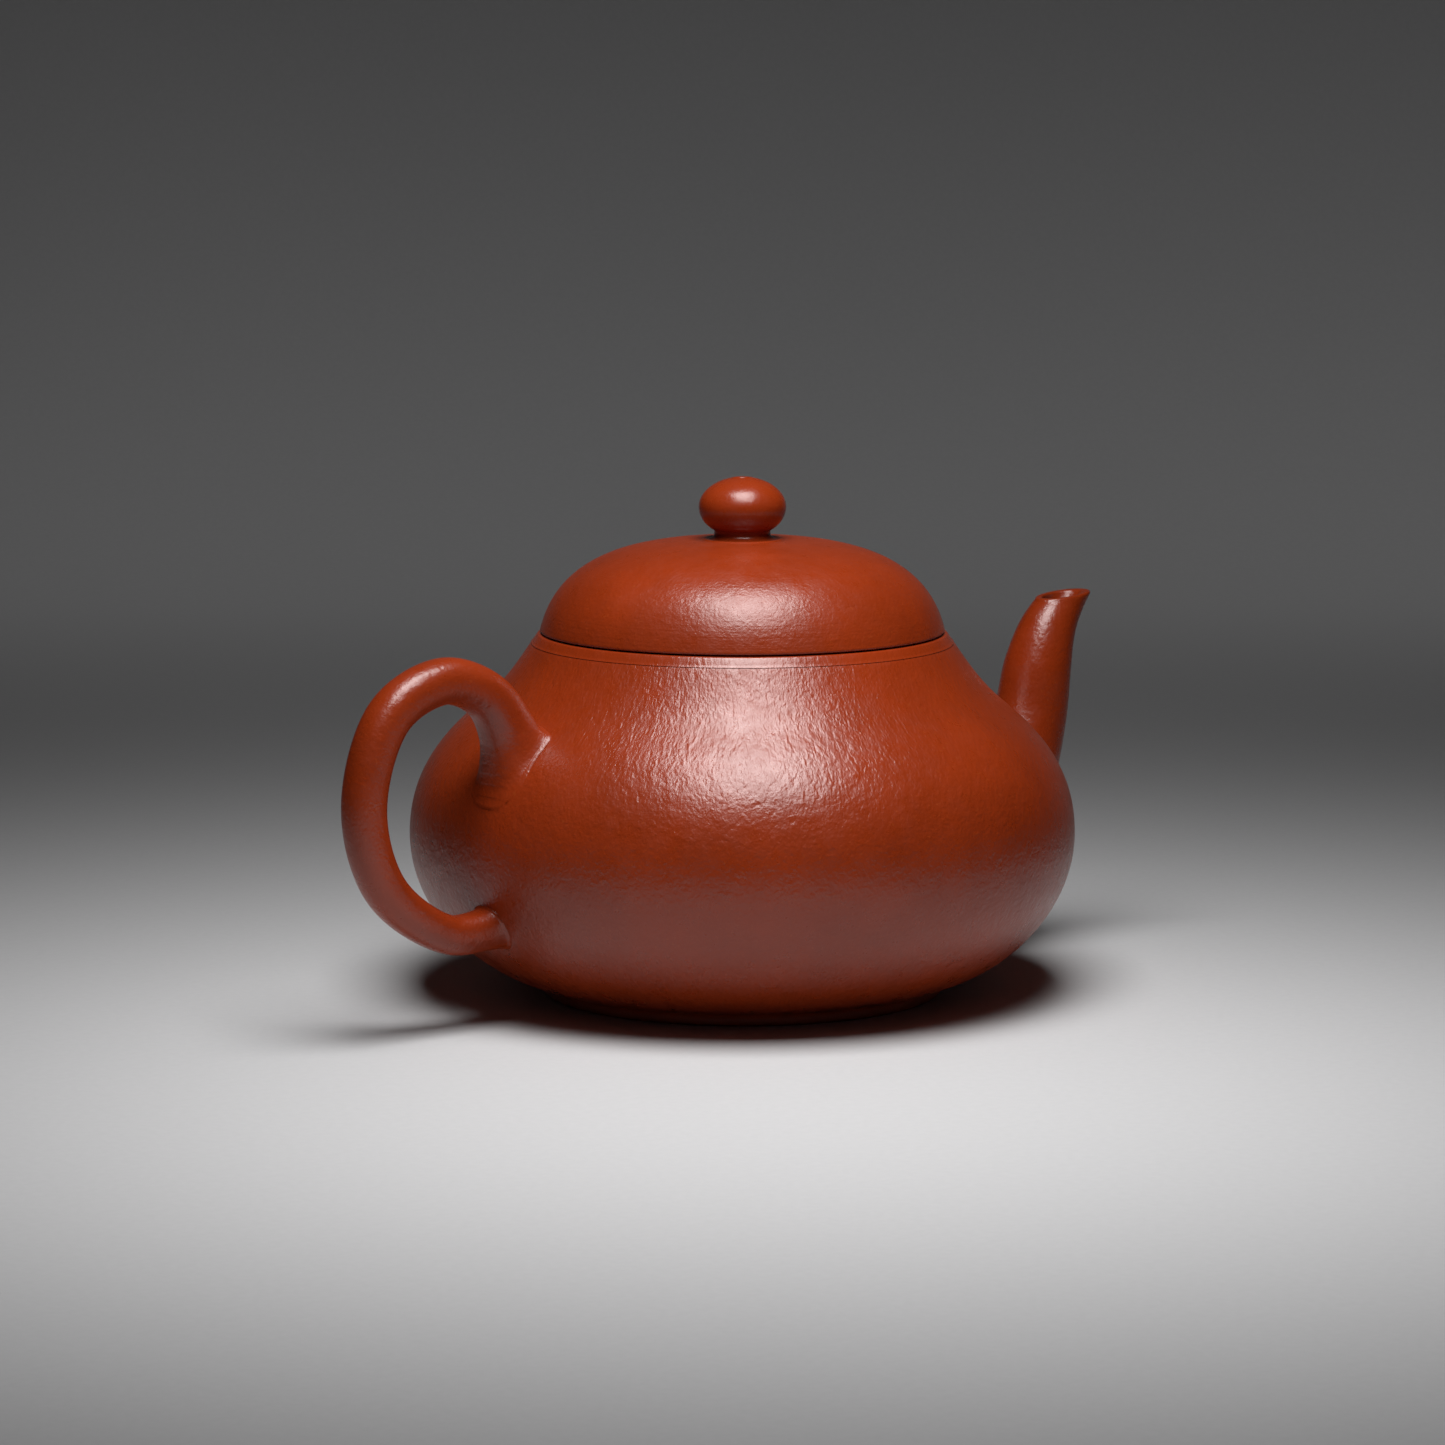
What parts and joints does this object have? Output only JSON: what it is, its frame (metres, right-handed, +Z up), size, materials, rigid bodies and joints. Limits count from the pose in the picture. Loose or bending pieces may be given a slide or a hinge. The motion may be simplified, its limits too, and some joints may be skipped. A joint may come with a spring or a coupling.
{
  "type": "yixing clay teapot",
  "caption": "Small unglazed red clay teapot, squat pear body, upright spout, ear handle, lift-off domed lid with a vented ball knob.",
  "frame": {"origin": "under the middle of the whole pot, from spout tip to handle back, on the surface it stands on; the turning axis of body and lid stands 0.71 mm from it towards the spout", "axes": "+X towards the spout, the handle on -X; +Z up, parallel to the turning axis; the pot mirrors about the XZ plane"},
  "size_m": [0.1202, 0.083, 0.0642],
  "materials": {
    "burnished_clay": "satin",
    "bare_clay": "matte"
  },
  "bodies": {
    "pot": {"body_wall": "burnished_clay", "base_disc": "bare_clay", "foot_ring": "burnished_clay", "top_disc": "bare_clay", "mouth_ring": "burnished_clay", "spout": "burnished_clay", "ball_strainer": "bare_clay", "handle": "burnished_clay"},
    "lid": {"lid_dome": "burnished_clay", "lid_seat_ring": "bare_clay", "lid_flange": "bare_clay", "knob": "burnished_clay"}
  },
  "joints": [
    {"name": "lid_lift", "type": "slide", "parent": "pot", "child": "lid", "axis": [0, 0, 1], "range_m": [0, 0.05]}
  ]
}
